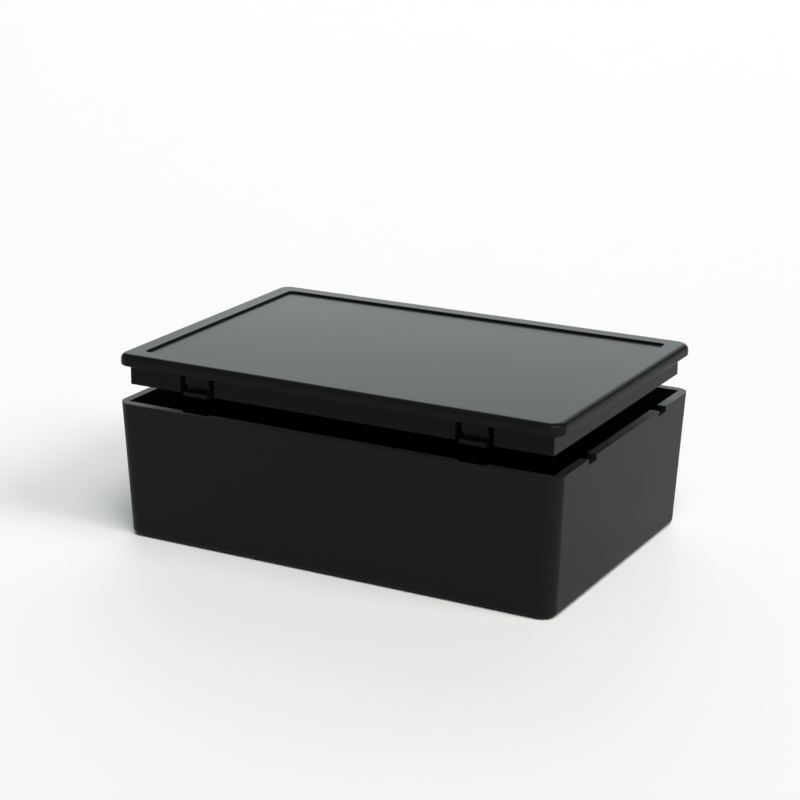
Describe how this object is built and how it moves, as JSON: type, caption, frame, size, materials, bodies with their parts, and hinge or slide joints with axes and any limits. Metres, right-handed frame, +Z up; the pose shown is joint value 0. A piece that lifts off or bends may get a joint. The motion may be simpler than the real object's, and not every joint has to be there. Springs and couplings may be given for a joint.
{
  "type": "plastic project box",
  "caption": "Oblong snap-fit enclosure for small electronics: an open tray with leaning walls and board posts, and a lid with a sunk panel and a clipped skirt.",
  "frame": {"origin": "middle of the tray's underside, on the surface it stands on", "axes": "+X along the length, +Y across the width towards the back, +Z up, the way the lid lifts off"},
  "size_m": [0.1, 0.068, 0.0399],
  "materials": {
    "tray_plastic": "moulded ABS, black, fine satin texture",
    "lid_plastic": "moulded ABS, black, fine satin texture"
  },
  "bodies": {
    "tray": {"base": "tray_plastic"},
    "cover": {"lid": "lid_plastic"}
  },
  "joints": [
    {"name": "lid_lift", "type": "slide", "parent": "tray", "child": "cover", "axis": [0, 0, 1], "range_m": [-0.00795, 0.045]}
  ]
}
